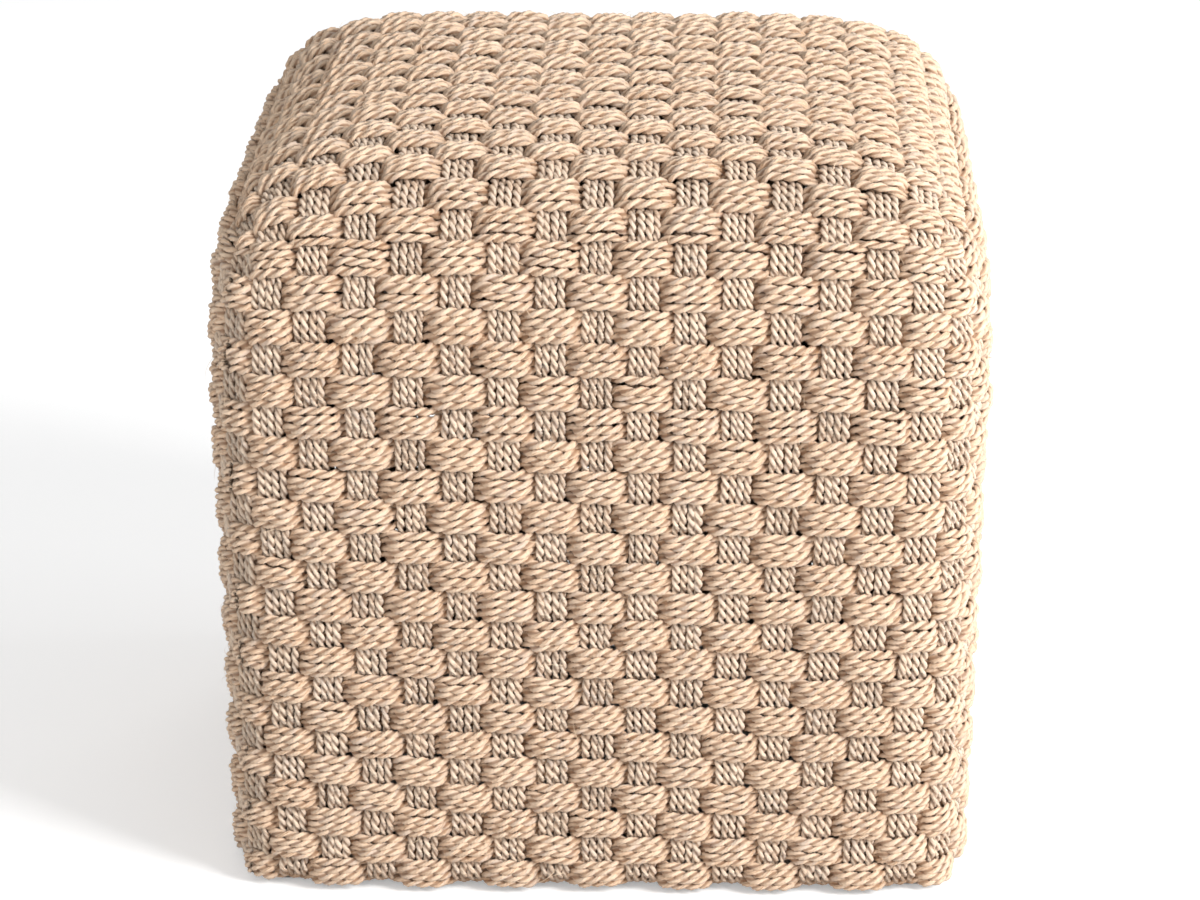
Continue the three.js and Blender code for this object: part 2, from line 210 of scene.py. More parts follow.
# A smooth line through points, with the place of each sample among the points.
def through(points, closed=False, steps=16):
    spans = len(points) if closed else len(points) - 1
    number = np.repeat(np.arange(spans), steps)
    share = np.tile(np.arange(steps) / steps, spans)
    if not closed:
        number = np.append(number, spans - 1)
        share = np.append(share, 1.0)
    line = curve_between(four_from(points, number - 1, closed), share[:, None])
    return line, number + share


# Samples at even steps along a line: points, their place among the line's points, their length along
# it, and the line's whole length.
def evenly(line, place, step, closed):
    if closed:
        line = np.concatenate([line, line[:1]])
        place = np.append(place, place[-1] + place[1] - place[0])
    arc = lengths_along(line)
    count = int(round(arc[-1] / step))
    at = np.linspace(0, arc[-1], count + 1)
    if closed:
        at = at[:-1]
    return points_at(at, arc, line), np.interp(at, arc, place), at, arc[-1]


# Values that wander smoothly along a length, on either side of nought.
def wander(amount, scale, length, samples, closed):
    count = max(int(length / scale), LEAST_WANDER_SPANS)
    values = rng.normal(0, WANDER_SPREAD, count + 3)
    if closed:
        values = values[:count]
    place = samples / length * count
    number = np.floor(place).astype(int)
    return amount * curve_between(four_from(values, number, closed), place - number)


# One random value for each crossing, with a spread and a limit.
def uneven(count, spread, limit):
    return rng.normal(0, spread, count).clip(-limit, limit)


# The values that a band has at its crossings, read at places between them.
def between_crossings(place, values):
    return np.interp(place % len(values), np.arange(len(values)), values)


# The surface of the cover

def reach_of(x, y):
    return (np.abs(x) ** PLAN_POWER + np.abs(y) ** PLAN_POWER) ** (1 / PLAN_POWER)


def half_width_at(z):
    return HALF_WIDTH - TAPER * np.maximum(WIDEST_HEIGHT - z, 0) / WIDEST_HEIGHT


def height_over(x, y):
    scale = np.minimum(reach_of(x, y) / HALF_WIDTH, 1)
    return WIDEST_HEIGHT + CROWN_HEIGHT * (1 - scale ** CROWN_POWER) ** (1 / CROWN_POWER)


def outward_at(points):
    x, y, z = points[:, 0], points[:, 1], points[:, 2]
    reach = np.maximum(reach_of(x, y), LEAST_REACH)
    lean_x = np.sign(x) * np.abs(x / reach) ** (PLAN_POWER - 1)
    lean_y = np.sign(y) * np.abs(y / reach) ** (PLAN_POWER - 1)
    side = (reach / HALF_WIDTH) ** (CROWN_POWER - 1) / HALF_WIDTH
    climb = np.clip((z - WIDEST_HEIGHT) / CROWN_HEIGHT, 0, 1)
    up = climb ** (CROWN_POWER - 1) / CROWN_HEIGHT
    return unit(np.stack([lean_x * side, lean_y * side, up], 1))


# The line up the middle of a side: its lengths from the lower edge, the half widths and the heights.
def climb_profile():
    angles = np.radians(np.linspace(0, PANEL_TOP_ANGLE, PROFILE_POINTS))
    crown_half = HALF_WIDTH * np.cos(angles) ** (2 / CROWN_POWER)
    crown_z = WIDEST_HEIGHT + CROWN_HEIGHT * np.sin(angles) ** (2 / CROWN_POWER)
    half = np.concatenate([[half_width_at(COVER_BASE)], crown_half])
    z = np.concatenate([[COVER_BASE], crown_z])
    return lengths_along(np.column_stack([half, z])), half, z


PROFILE_ARC, PROFILE_HALF, PROFILE_Z = climb_profile()
ROW_GROWTH = np.linspace(LOW_ROW_SHARE, 2 - LOW_ROW_SHARE, ROW_COUNT)
ROW_EDGES = np.concatenate([[0], np.cumsum(ROW_GROWTH)]) / ROW_COUNT * PROFILE_ARC[-1]
ROW_MIDDLES = (ROW_EDGES[1:] + ROW_EDGES[:-1]) / 2
HOOPS_END = ROW_EDGES[HOOP_COUNT]


# The half width and the height of the level ring at a length up a side.
def level_at(climb):
    return np.interp(climb, PROFILE_ARC, PROFILE_HALF), np.interp(climb, PROFILE_ARC, PROFILE_Z)


# The point of a level ring at an angle from the front's middle, which grows to the right.
def ring_point(half, angle):
    x, y = np.sin(angle), -np.cos(angle)
    size = reach_of(x, y)
    return half * x / size, half * y / size


# The front side of a level ring, from corner to corner, with its lengths from the middle.
def side_run(half):
    angle = np.linspace(-math.pi / 4, math.pi / 4, SIDE_POINTS)
    run = np.column_stack(ring_point(half, angle))
    arc = lengths_along(run)
    return run, arc - arc[-1] / 2


# Where the columns cross a level ring, as lengths from the side's middle. The corner columns lie
# at the side's ends.
def column_arcs(z, end):
    k = np.array(COLUMNS)
    t = np.abs(k) / CORNER_COLUMN
    flare = 1 + COLUMN_FLARE_SHARE * t ** 2 * smooth_step(*FLARE_HEIGHTS, z)
    even = CORNER_COLUMN * COLUMN_PITCH * t * half_width_at(z) / HALF_WIDTH * flare
    return np.sign(k) * (even - (even[-1] - end) * t ** CORNER_FIT_POWER)


# The point of the front's column k at a length up the side.
def column_point(k, climb):
    half, z = level_at(climb)
    run, arc = side_run(half)
    at = column_arcs(z, arc[-1])[k + CORNER_COLUMN]
    return [*points_at(at, arc, run), z]


# The crossings of one row with the columns of the front, its two corners included. The highest
# hoops hang a little lower at the corners.
def row_crossings(row):
    crossings = []
    for k in COLUMNS:
        droop = CORNER_DROOP * (abs(k) / CORNER_COLUMN) ** DROOP_POWER * smooth_step(*DROOPING_ROWS, row)
        crossings.append(column_point(k, ROW_MIDDLES[row] - droop))
    return crossings


CROSSINGS = np.array([row_crossings(row) for row in range(HOOP_COUNT)])


# Points turned about the middle of the stool, by quarter turns.
def turned(points, quarter):
    x, y = points[..., 0], points[..., 1]
    for _ in range(quarter % 4):
        x, y = -y, x
    return np.stack([x, y, points[..., 2]], -1)


# 1 where the weft of a row lies over a column, and -1 where it lies under. Rows are counted from 1,
# and columns from 0 at the front's left corner.
def column_sign(row, column):
    return 1 if (row + column) % 2 else -1


# Scene and pieces

def linked(name, data):
    made = bpy.data.objects.new(name, data)
    bpy.context.scene.collection.objects.link(made)
    return made


# Says what a piece rides on and which imported nodes it stands for.
def declare(piece, replaces):
    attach(piece, "root")
    if replaces:
        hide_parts(*replaces)


# Cords

# Two maps lie on the cords. The strand map is as long as the cord, in millimetres, and one high. The
# bake map cuts the skin of a piece's cords into strips, which fill a square. Their number follows
# from a face's usual length and a cord's usual girth.

FACE_LENGTH = 1.9
CORD_GIRTH = 14
STRIP_MARGIN_SHARE = 0.08
MAP_MARGIN_SHARE = 0.003
CAP_CORNER = 0.0005

Cord = namedtuple("Cord", "rings step tone depth closed")

RING_ANGLES = np.arange(RING_POINTS) * 2 * math.pi / RING_POINTS


def lobed_radii():
    across = STRAND_OFFSET * np.sin(RING_ANGLES)
    return STRAND_OFFSET * np.abs(np.cos(RING_ANGLES)) + np.sqrt(STRAND_RADIUS ** 2 - across ** 2)


RING_RADII = lobed_radii()


# The rings of a cord along points, with the direction that faces out, its width and its twist.
def twisted_rings(points, outward, width, phase, closed):
    ahead = heading(points, closed)
    aside = unit(np.cross(ahead, outward))
    out = np.cross(aside, ahead)
    angle = phase[:, None] + RING_ANGLES
    radius = RING_RADII * width[:, None]
    along_aside = (radius * np.cos(angle))[:, :, None] * aside[:, None, :]
    along_out = (radius * np.sin(angle))[:, :, None] * out[:, None, :]
    return points[:, None, :] + along_aside + along_out


def span_count(cord):
    return len(cord.rings) if cord.closed else len(cord.rings) - 1


# The four-sided faces of a cord whose points are numbered from start.
def cord_faces(cord, start):
    i = np.arange(span_count(cord))[:, None]
    j = np.arange(RING_POINTS)
    beside = (j + 1) % RING_POINTS
    here = start + i * RING_POINTS
    ahead = start + (i + 1) % len(cord.rings) * RING_POINTS
    return np.stack([here + j, ahead + j, ahead + beside, here + beside], -1).reshape(-1, 4)


# The two end faces of a cord that isn't closed.
def cord_caps(cord, start):
    if cord.closed:
        return []
    ring = np.arange(RING_POINTS)
    last = start + (len(cord.rings) - 1) * RING_POINTS
    return [start + ring[::-1], last + ring]


# The corners of faces on a map, from where the faces begin and end, and from their two edges.
def map_corners(near, far, low, high):
    near, far, low, high = np.broadcast_arrays(near, far, low, high)
    return np.stack([near, low, far, low, far, high, near, high], -1).reshape(-1, 2)


def strand_corners(cord):
    i = np.arange(span_count(cord))[:, None]
    j = np.arange(RING_POINTS)
    return map_corners(i * cord.step, (i + 1) * cord.step, j / RING_POINTS, (j + 1) / RING_POINTS)


# A share drawn in from both ends by a margin.
def inset(share, margin):
    return margin + (1 - 2 * margin) * share


# The bake map's corners for a cord that comes after so many spans of the piece's total.
def bake_corners(cord, done, total):
    strips = max(int(round(math.sqrt(total * FACE_LENGTH / CORD_GIRTH))), 1)
    place = (done + np.arange(span_count(cord))[:, None]) * strips / total
    strip = np.floor(place)
    near = place - strip
    far = np.minimum(near + strips / total, 1)
    j = np.arange(RING_POINTS)
    edges = [(strip + inset(side / RING_POINTS, STRIP_MARGIN_SHARE)) / strips for side in (j, j + 1)]
    return map_corners(inset(near, MAP_MARGIN_SHARE), inset(far, MAP_MARGIN_SHARE), *edges)


# One mesh of all the cords of a piece, with its two maps and the values that the materials read.
def cord_piece(name, cords, material, replaces):
    total = sum(span_count(cord) for cord in cords)
    quads, caps, strand_map, bake_map = [], [], [], []
    start, done = 0, 0
    for cord in cords:
        quads.append(cord_faces(cord, start))
        caps += cord_caps(cord, start)
        strand_map.append(strand_corners(cord))
        bake_map.append(bake_corners(cord, done, total))
        start += len(cord.rings) * RING_POINTS
        done += span_count(cord)
    points = np.concatenate([cord.rings.reshape(-1, 3) for cord in cords])
    mesh = mesh_of(name, points, np.concatenate(quads), np.array(caps, int))
    cap_corners = np.full((len(caps) * RING_POINTS, 2), CAP_CORNER)
    for map_name, corners in (("OFBake", bake_map), ("strand", strand_map)):
        layer = mesh.uv_layers.new(name=map_name)
        layer.data.foreach_set("uv", np.concatenate([*corners, cap_corners]).astype(np.float32).ravel())
    for value_name in ("tone", "depth"):
        values = np.concatenate([getattr(cord, value_name) for cord in cords])
        attribute = mesh.attributes.new(value_name, "FLOAT", "POINT")
        attribute.data.foreach_set("value", np.repeat(values, RING_POINTS).astype(np.float32))
    mesh.materials.append(material)
    declare(linked(name, mesh), replaces)


# A smooth mesh of four-sided faces and of end caps.
def mesh_of(name, points, quads, caps):
    corners = np.concatenate([quads.ravel(), caps.ravel()])
    quad_starts = np.arange(len(quads)) * 4
    cap_starts = quads.size + np.arange(len(caps)) * RING_POINTS
    starts = np.concatenate([quad_starts, cap_starts])
    mesh = bpy.data.meshes.new(name)
    mesh.vertices.add(len(points))
    mesh.vertices.foreach_set("co", (points * MM).astype(np.float32).ravel())
    mesh.loops.add(len(corners))
    mesh.loops.foreach_set("vertex_index", corners.astype(np.int32))
    mesh.polygons.add(len(starts))
    mesh.polygons.foreach_set("loop_start", starts.astype(np.int32))
    mesh.update(calc_edges=True)
    mesh.polygons.foreach_set("use_smooth", np.ones(len(starts), bool))
    return mesh


# Bands

# What the cords of a band share: the samples of its line, the directions out and aside there, how far
# it swings out, sways aside, runs slantwise and lies under, a weft's height, and the crossings' count.
Band = namedtuple("Band", "points place arc length outward aside out sway slant under height crossings")


# How far a band swings out, from -1 to 1, between crossings with the given signs.
def swing(place, signs):
    number = np.floor(place).astype(int)
    share = place - number
    now, following = signs[number % len(signs)], signs[(number + 1) % len(signs)]
    turn = np.tanh(SWING_SHARPNESS * np.cos(math.pi * share)) / math.tanh(SWING_SHARPNESS)
    return np.where(now * following < 0, now * turn, now + (following - now) * share)


# How far aside and how far out a weft's cord lies from the band's middle, and how wide it is. Where
# the band swings out it makes a pillow, whose inner cords are the highest and may run slantwise.
def weft_cord(across, out, slant, height):
    inner = abs(across) < 1
    lift = np.maximum(out, 0)
    passing = (1 - out ** 2).clip(0, 1)
    spread = TUCK_SPREAD_SHARE + (PILLOW_SPREAD_SHARE - TUCK_SPREAD_SHARE) * (0.5 + 0.5 * out)
    spread = spread + PASSING_SPREAD_SHARE * passing
    side = across * height / BAND_CORDS * spread + slant * lift * (INNER_SLANT if inner else OUTER_SLANT)
    rise = WEFT_SWING * out + lift * (PILLOW_LIFT if inner else -PILLOW_DROP)
    width = WEFT_WIDTH + WEFT_WIDTH_GAIN * (height - USUAL_BAND_HEIGHT)
    return side, rise, width * (1 + PASSING_WIDTH_SHARE * passing)


# The same for a warp's cord, which stays nearly straight and flat.
def warp_cord(across, out):
    return across * WARP_CORD_PITCH, WARP_SWING * out - WARP_SET_IN, WARP_WIDTH


# The twist that a band's cords share. On a closed band it comes round to where it began.
def shared_twist(lay, length, arc, closed):
    lay = lay * (1 + LAY_SPREAD * rng.normal())
    turns = round(length / lay * 2) / 2 if closed else length / lay
    twist = 2 * math.pi * (turns * arc / length + rng.random())
    return twist + wander(*LAY_WANDER, length, arc, closed)


# Lays a band out along a line on the cover. A warp has no heights.
def lay_out_band(controls, signs, heights, closed, sink):
    step = WARP_STEP if heights is None else WEFT_STEP
    points, place, arc, length = evenly(*through(controls, closed), step, closed)
    outward = outward_at(points)
    aside = unit(np.cross(heading(points, closed), outward))
    count = len(signs)
    evenness = between_crossings(place, 1 + uneven(count, *SWING_UNEVEN))
    out = swing(place, np.array(signs, float)) * evenness
    sway = between_crossings(place, uneven(count, *SWAY_UNEVEN))
    near = np.round(place).astype(int)
    slant = uneven(count, *SLANT_UNEVEN)[near % count] * (place - near)
    start_sink = sink[0] * (1 - smooth_step(0, SINK_LENGTH, arc))
    end_sink = sink[1] * (1 - smooth_step(0, SINK_LENGTH, length - arc))
    under = start_sink + end_sink
    height = None if heights is None else between_crossings(place, heights)
    return Band(points, place, arc, length, outward, aside, out, sway, slant, under, height, count)


# The path of one of a band's cords on the cover, and its width as far as the weave sets it.
def cord_path(band, number, closed):
    across = number - (BAND_CORDS - 1) / 2
    if band.height is None:
        side, rise, width = warp_cord(across, band.out)
    else:
        side, rise, width = weft_cord(across, band.out, band.slant, band.height)
    drift = wander(*DRIFT_WANDER, band.length, band.arc, closed)
    heave = wander(*HEAVE_WANDER, band.length, band.arc, closed)
    own_side = between_crossings(band.place, uneven(band.crossings, *SIDE_UNEVEN))
    own_rise = between_crossings(band.place, uneven(band.crossings, *RISE_UNEVEN))
    side = side + band.sway + drift + own_side
    rise = rise + own_rise - MIDDLE_DEPTH + heave - band.under
    return band.points + side[:, None] * band.aside + rise[:, None] * band.outward, width


# The cords of a band, side by side along a line on the cover. The signs say where the band lies over.
# A weft has its height at each crossing. The band's ends may sink under a neighbour, and a warp's
# ends may turn in under the frame.
def weave_band(controls, signs, heights=None, closed=False, sink=(0, 0), tucked=(False, False), turn=0):
    lay, step = (WARP_LAY, WARP_STEP) if heights is None else (WEFT_LAY, WEFT_STEP)
    band = lay_out_band(controls, signs, heights, closed, sink)
    cords = []
    for number in range(BAND_CORDS):
        path, width = cord_path(band, number, closed)
        arc, outward, out = band.arc, band.outward, band.out
        if any(tucked):
            path, outward, out = add_tucks(path, outward, out, tucked, turn)
            arc = np.arange(len(path)) * step
        total = arc[-1] + step
        width = width * (1 + WIDTH_SPREAD * rng.normal())
        width = width * (1 + wander(*WIDTH_WANDER, total, arc, closed))
        tone = 0.5 + TONE_SPREAD * rng.normal() + wander(*TONE_WANDER, total, arc, closed)
        if number == 0:
            twist = shared_twist(lay, total, arc, closed)
        own_phase = number * math.pi / 2 + PHASE_SPREAD * rng.normal()
        phase = twist + own_phase + wander(*PHASE_WANDER, total, arc, closed)
        rings = twisted_rings(path, outward, width, phase, closed)
        # How far the cord passes under, which the material paints as shade.
        depth = np.clip(0.5 - 0.5 * out, 0, 1)
        cords.append(Cord(rings, arc[1] - arc[0], tone, depth, closed))
    return cords


# The end of a warp in the plane that it hangs in: how far in and how high, from one step below the
# lowest crossing, under the base rail and round its inner side by the given turn.
def tuck_profile(turn):
    angles = np.radians(np.arange(0, turn + 1, WRAP_STEP_ANGLE))
    inward = RAIL_INWARD + WRAP_RADIUS * np.sin(angles)
    up = BASE_RAIL_Z - WRAP_RADIUS * np.cos(angles)
    lowest_z = CROSSINGS[0][CORNER_COLUMN][2]
    line, _ = through(np.array([(0.0, lowest_z), *TUCK_BEND, *zip(inward, up)]))
    arc = lengths_along(line)
    return points_at(np.arange(WARP_STEP, arc[-1], WARP_STEP), arc, line)


# A warp's path, its outward direction and its swing, with an end turned in at its start or its end.
def add_tucks(path, outward, out, tucked, turn):
    profile = tuck_profile(turn)
    slope = unit(np.gradient(profile, axis=0))
    hidden = np.full(len(profile), TUCK_SWING)
    parts = [(path, outward, out)]
    for end, wanted in zip((0, -1), tucked):
        if not wanted:
            continue
        flat = unit(outward[end] * FLAT)
        run = path[end] * FLAT - profile[:, :1] * flat + profile[:, 1:] * UP
        facing = unit(-slope[:, 1:] * flat - slope[:, :1] * UP)
        if end == 0:
            parts.insert(0, (run[::-1], facing[::-1], hidden))
        else:
            parts.append((run, facing, hidden))
    return tuple(np.concatenate(column) for column in zip(*parts))


# Materials

BLACK = (0, 0, 0)
WHITE = (1, 1, 1)

# Scales of the patterns along a strand, round it, and from cord to cord.

CORD_FIBRE_SCALE = (0.16, 15.0, 1.0)
CORD_BLOTCH_SCALE = (0.07, 3.0, 1.0)
TONE_SHIFT = 3.0

# How much each pattern counts in a cord's colour, and what is taken off their sum.

FIBRE_WEIGHT = 2.2
BLOTCH_WEIGHT = 0.4
TONE_WEIGHT = 0.26
LEVEL_OFFSET = 0.87

# The levels at which a cord is dark, middling and pale, and between which its patches and the
# painted shade in its grooves set in.

COLOUR_LEVELS = (0.08, 0.36, 0.66)
GREYED_LEVELS = (0.54, 0.68)
GROOVE_SHADE_LEVELS = (0.62, 1.0)

# How much of the greyed colour, of the painted shade in the grooves and of the painted shade where
# a cord passes under is laid over, and the shares of red, green and blue that the last two keep of
# the dark colour.

GREYED_SHARE = 0.42
GROOVE_SHADE_SHARE = 0.7
SHADED_SHARE = 0.62
GROOVE_SHADE_COLOUR_SHARES = (0.36, 0.23, 0.13)
SHADED_COLOUR_SHARES = (0.56, 0.46, 0.35)

# The other finishes: the scales of their grain and patches, the levels of the patches, and the shares
# that the darker and the dusty patches keep of the colour. Dust adds a grey.

GRAIN_SCALE = (900, 900, 900)
PATCH_SCALE = (14, 14, 14)
PATCH_LEVELS = (0.3, 0.55, 0.78)
DARKER_SHARE = 0.82
DUSTY_SHARE = 0.75
DUST_GREY = 0.12

# Roughness, as its least and what a pattern adds, and the cord's sheen.

CORD_ROUGHNESS = (0.7, 0.25)
GRAINED_ROUGHNESS = (0.32, 0.3)
CORD_SPECULAR = 0.16
CORD_SHEEN = 0.12
CORD_SHEEN_ROUGHNESS = 0.5

WEFT_PALE = (0.87, 0.67, 0.497)
WEFT_MIDDLE = (0.82, 0.578, 0.397)
WEFT_DARK = (0.42, 0.235, 0.12)
WARP_PALE = (0.81, 0.66, 0.52)
WARP_MIDDLE = (0.735, 0.555, 0.41)
WARP_DARK = (0.38, 0.235, 0.14)
GREYED = (0.56, 0.47, 0.42)


def nodes_of(name):
    material = bpy.data.materials.new(name)
    material.use_nodes = True
    tree = material.node_tree
    return material, tree, tree.nodes["Principled BSDF"]


# Gives a node values for its own settings or for its inputs.
def set_values(made, **values):
    for key, value in values.items():
        if hasattr(made, key):
            setattr(made, key, value)
        else:
            made.inputs[key.replace("_", " ")].default_value = value


def node(tree, kind, **values):
    made = tree.nodes.new("ShaderNode" + kind)
    set_values(made, **values)
    return made


def ramp(tree, source, places, colours):
    made = node(tree, "ValToRGB")
    elements = made.color_ramp.elements
    while len(elements) < len(places):
        elements.new(0.5)
    for element, place, colour in zip(elements, places, colours):
        element.position = place
        element.color = (*colour, 1)
    tree.links.new(source, made.inputs[0])
    return made.outputs[0]


# A plain colour laid over a socket's, by the share that another socket gives.
def overlay(tree, share, below, colour):
    made = node(tree, "Mix", data_type="RGBA")
    tree.links.new(share, made.inputs[0])
    tree.links.new(below, made.inputs[6])
    made.inputs[7].default_value = (*colour, 1)
    return made.outputs[2]


def arithmetic(tree, operation, *values):
    made = node(tree, "Math", operation=operation)
    for socket, value in zip(made.inputs, values):
        if isinstance(value, bpy.types.NodeSocket):
            tree.links.new(value, socket)
        else:
            socket.default_value = value
    return made.outputs[0]


def plus(tree, a, b):
    return arithmetic(tree, "ADD", a, b)


def times(tree, a, b):
    return arithmetic(tree, "MULTIPLY", a, b)


def stretched_noise(tree, source, scale, detail, roughness):
    mapping = node(tree, "Mapping", Scale=scale)
    tree.links.new(source, mapping.inputs[0])
    noise = node(tree, "TexNoise", Scale=1.0, Detail=detail, Roughness=roughness)
    tree.links.new(mapping.outputs[0], noise.inputs["Vector"])
    return noise.outputs[0]


# The roughness of a surface, from its least and from what a pattern adds.
def roughen(tree, shader, pattern, least, gain):
    tree.links.new(plus(tree, times(tree, pattern, gain), least), shader.inputs["Roughness"])


def emboss(tree, shader, pattern, strength, distance):
    bump = node(tree, "Bump", Strength=strength, Distance=distance)
    tree.links.new(pattern, bump.inputs["Height"])
    tree.links.new(bump.outputs[0], shader.inputs["Normal"])


# The strand map's places, moved aside by a cord's tone, so that cords differ in their pattern.
def shifted_strand(tree, strand, tone):
    shift = node(tree, "CombineXYZ")
    tree.links.new(times(tree, tone, TONE_SHIFT), shift.inputs["Z"])
    moved = node(tree, "VectorMath", operation="ADD")
    tree.links.new(strand, moved.inputs[0])
    tree.links.new(shift.outputs[0], moved.inputs[1])
    return moved.outputs[0]


# The painted shade of the two grooves between a cord's strands, which lie a quarter and three
# quarters of the way round.
def groove_shade_of(tree, strand):
    axes = node(tree, "SeparateXYZ")
    tree.links.new(strand, axes.inputs[0])
    wave = arithmetic(tree, "COSINE", times(tree, axes.outputs["Y"], 4 * math.pi))
    nearness = times(tree, arithmetic(tree, "SUBTRACT", 1.0, wave), 0.5)
    return ramp(tree, nearness, GROOVE_SHADE_LEVELS, (BLACK, WHITE))


def scaled(colour, shares):
    return tuple(value * share for value, share in zip(colour, shares))


# Twisted fibre: streaks along the strands, patches that have gone grey, painted shade in the grooves
# between the strands, and painted shade where the cord passes under.
def cord_material(name, pale, middle, dark):
    material, tree, shader = nodes_of(name)
    strand = node(tree, "UVMap", uv_map="strand").outputs[0]
    tone = node(tree, "Attribute", attribute_name="tone").outputs["Fac"]
    depth = node(tree, "Attribute", attribute_name="depth").outputs["Fac"]
    place = shifted_strand(tree, strand, tone)
    fibres = stretched_noise(tree, place, CORD_FIBRE_SCALE, detail=5.0, roughness=0.7)
    blotches = stretched_noise(tree, place, CORD_BLOTCH_SCALE, detail=2.0, roughness=0.5)
    level = plus(tree, times(tree, fibres, FIBRE_WEIGHT), times(tree, blotches, BLOTCH_WEIGHT))
    level = plus(tree, level, times(tree, tone, TONE_WEIGHT))
    level = arithmetic(tree, "SUBTRACT", level, LEVEL_OFFSET)
    colour = ramp(tree, level, COLOUR_LEVELS, (dark, middle, pale))
    greyed = ramp(tree, blotches, GREYED_LEVELS, (BLACK, WHITE))
    colour = overlay(tree, times(tree, greyed, GREYED_SHARE), colour, GREYED)
    # Painted shade in the grooves between the strands.
    groove_shade = times(tree, groove_shade_of(tree, strand), GROOVE_SHADE_SHARE)
    colour = overlay(tree, groove_shade, colour, scaled(dark, GROOVE_SHADE_COLOUR_SHARES))
    # Painted shade where the cord passes under.
    shaded = times(tree, depth, SHADED_SHARE)
    colour = overlay(tree, shaded, colour, scaled(dark, SHADED_COLOUR_SHARES))
    tree.links.new(colour, shader.inputs["Base Color"])
    set_values(shader, Specular_IOR_Level=CORD_SPECULAR)
    set_values(shader, Sheen_Weight=CORD_SHEEN, Sheen_Roughness=CORD_SHEEN_ROUGHNESS)
    roughen(tree, shader, fibres, *CORD_ROUGHNESS)
    emboss(tree, shader, fibres, strength=0.9, distance=0.001)
    return material


# A satin surface with a fine grain, and patches that are darker or dusty. The coat of the frame, the
# plastic of the feet and the loose fibres are made of it.
def grained_material(name, colour):
    material, tree, shader = nodes_of(name)
    place = node(tree, "TexCoord").outputs["Object"]
    grain = stretched_noise(tree, place, GRAIN_SCALE, detail=2.0, roughness=0.5)
    patches = stretched_noise(tree, place, PATCH_SCALE, detail=4.0, roughness=0.6)
    darker = tuple(DARKER_SHARE * value for value in colour)
    dusty = tuple(DUSTY_SHARE * value + DUST_GREY for value in colour)
    mottled = ramp(tree, patches, PATCH_LEVELS, (darker, colour, dusty))
    tree.links.new(mottled, shader.inputs["Base Color"])
    roughen(tree, shader, patches, *GRAINED_ROUGHNESS)
    emboss(tree, shader, grain, strength=0.35, distance=0.0003)
    return material


weft_material = cord_material("twisted_cord_weft", WEFT_PALE, WEFT_MIDDLE, WEFT_DARK)
warp_material = cord_material("twisted_cord_warp", WARP_PALE, WARP_MIDDLE, WARP_DARK)


# The hoops

# Each hoop goes round all four sides, so it stands for a part of all four panels.

HOOP_NODES = ["hoops_front", "hoops_right", "hoops_back", "hoops_left"]


def make_hoop(row):
    ring = np.concatenate([turned(CROSSINGS[row][:-1], quarter) for quarter in range(4)])
    signs = [column_sign(row + 1, column) for column in range(len(ring))]
    heights = np.full(len(ring), ROW_EDGES[row + 1] - ROW_EDGES[row])
    cords = weave_band(ring, signs, heights, closed=True)
    cord_piece(f"hoop_{row + 1:02d}", cords, weft_material, HOOP_NODES)


for row in range(HOOP_COUNT):
    make_hoop(row)


# The bands over the top

# The first and last two bands across lie on the front's and the back's upper edge. The others are
# spaced out between them, a little closer together in front.

CROSS_REACH_SHARE = 0.39
CROSS_LEAN_SHARE = 0.1
SHOULDER_COLUMN = 206.0
TOP_FLARE_SHARE = 0.02
EDGE_DEPTHS = (100, 215)
CORNER_PULL = 0.52
PULL_POWER = 4
PULL_REACH_SHARE = 0.2
TOP_POINTS = 1201
LEAST_BAND_HEIGHT = 11.5

# The ends of the bands across: how far below the highest hoop's upper edge their two points are, how
# they lie under it, and their place along the side as a share of the last crossing's.

END_DROPS = (6.0, 20.0)
END_SWING = -0.4
END_SINK = 9
END_PLACE_SHARE = 0.97

# The upper ends of the upright bands on the right and the left side.

SIDE_WARP_RISE = 5.0
SIDE_WARP_SWING = -0.5
SIDE_WARP_SINK = 4

EDGE_PLACES = [level_at(ROW_MIDDLES[row])[0] for row in range(HOOP_COUNT, ROW_COUNT)]
FLAT_SHARES = np.linspace(-1, 1, CROSS_COUNT - 2 * EDGE_COUNT)
FLAT_PLACES = CROSS_REACH_SHARE * WIDTH * (FLAT_SHARES - CROSS_LEAN_SHARE * (1 - FLAT_SHARES ** 2))
CENTRE_PLACES = np.array([*np.negative(EDGE_PLACES), *FLAT_PLACES, *EDGE_PLACES[::-1]])


# A column's place across the top where it lies at depth y. Towards the edge it moves to its place
# on the highest hoop.
def column_x(k, y):
    edge = CROSSINGS[-1][k + CORNER_COLUMN][0]
    if abs(k) == CORNER_COLUMN:
        flat = np.sign(k) * SHOULDER_COLUMN
    else:
        flat = k * COLUMN_PITCH * (1 + TOP_FLARE_SHARE * (k / CORNER_COLUMN) ** 2)
    return flat + (edge - flat) * smooth_step(*EDGE_DEPTHS, np.abs(y))


# A column's line over the top, between its crossings with the highest hoop, with its lengths.
def column_line(k):
    edge = abs(CROSSINGS[-1][k + CORNER_COLUMN][1])
    y = np.linspace(-edge, edge, TOP_POINTS)
    x = column_x(k, y)
    line = np.stack([x, y, height_over(x, y)], 1)
    return line, lengths_along(line)


MIDDLE_LINE, MIDDLE_ARC = column_line(0)
BAND_SHARES = np.interp(CENTRE_PLACES, MIDDLE_LINE[:, 1], MIDDLE_ARC) / MIDDLE_ARC[-1]


# Each band crosses every column at about the same share of the column's way over the top. Towards
# the corners the first and last bands draw closer together.
def top_crossings(k):
    line, arc = column_line(k)
    near = np.minimum(BAND_SHARES, 1 - BAND_SHARES)
    corner_pull = CORNER_PULL * (abs(k) / CORNER_COLUMN) ** PULL_POWER
    pull = corner_pull * near * np.exp(-((near / PULL_REACH_SHARE) ** 2))
    shares = BAND_SHARES + np.where(BAND_SHARES < 0.5, -pull, pull)
    return points_at(shares * arc[-1], arc, line)


TOP_CROSSINGS = np.array([top_crossings(k) for k in COLUMNS]).transpose(1, 0, 2)


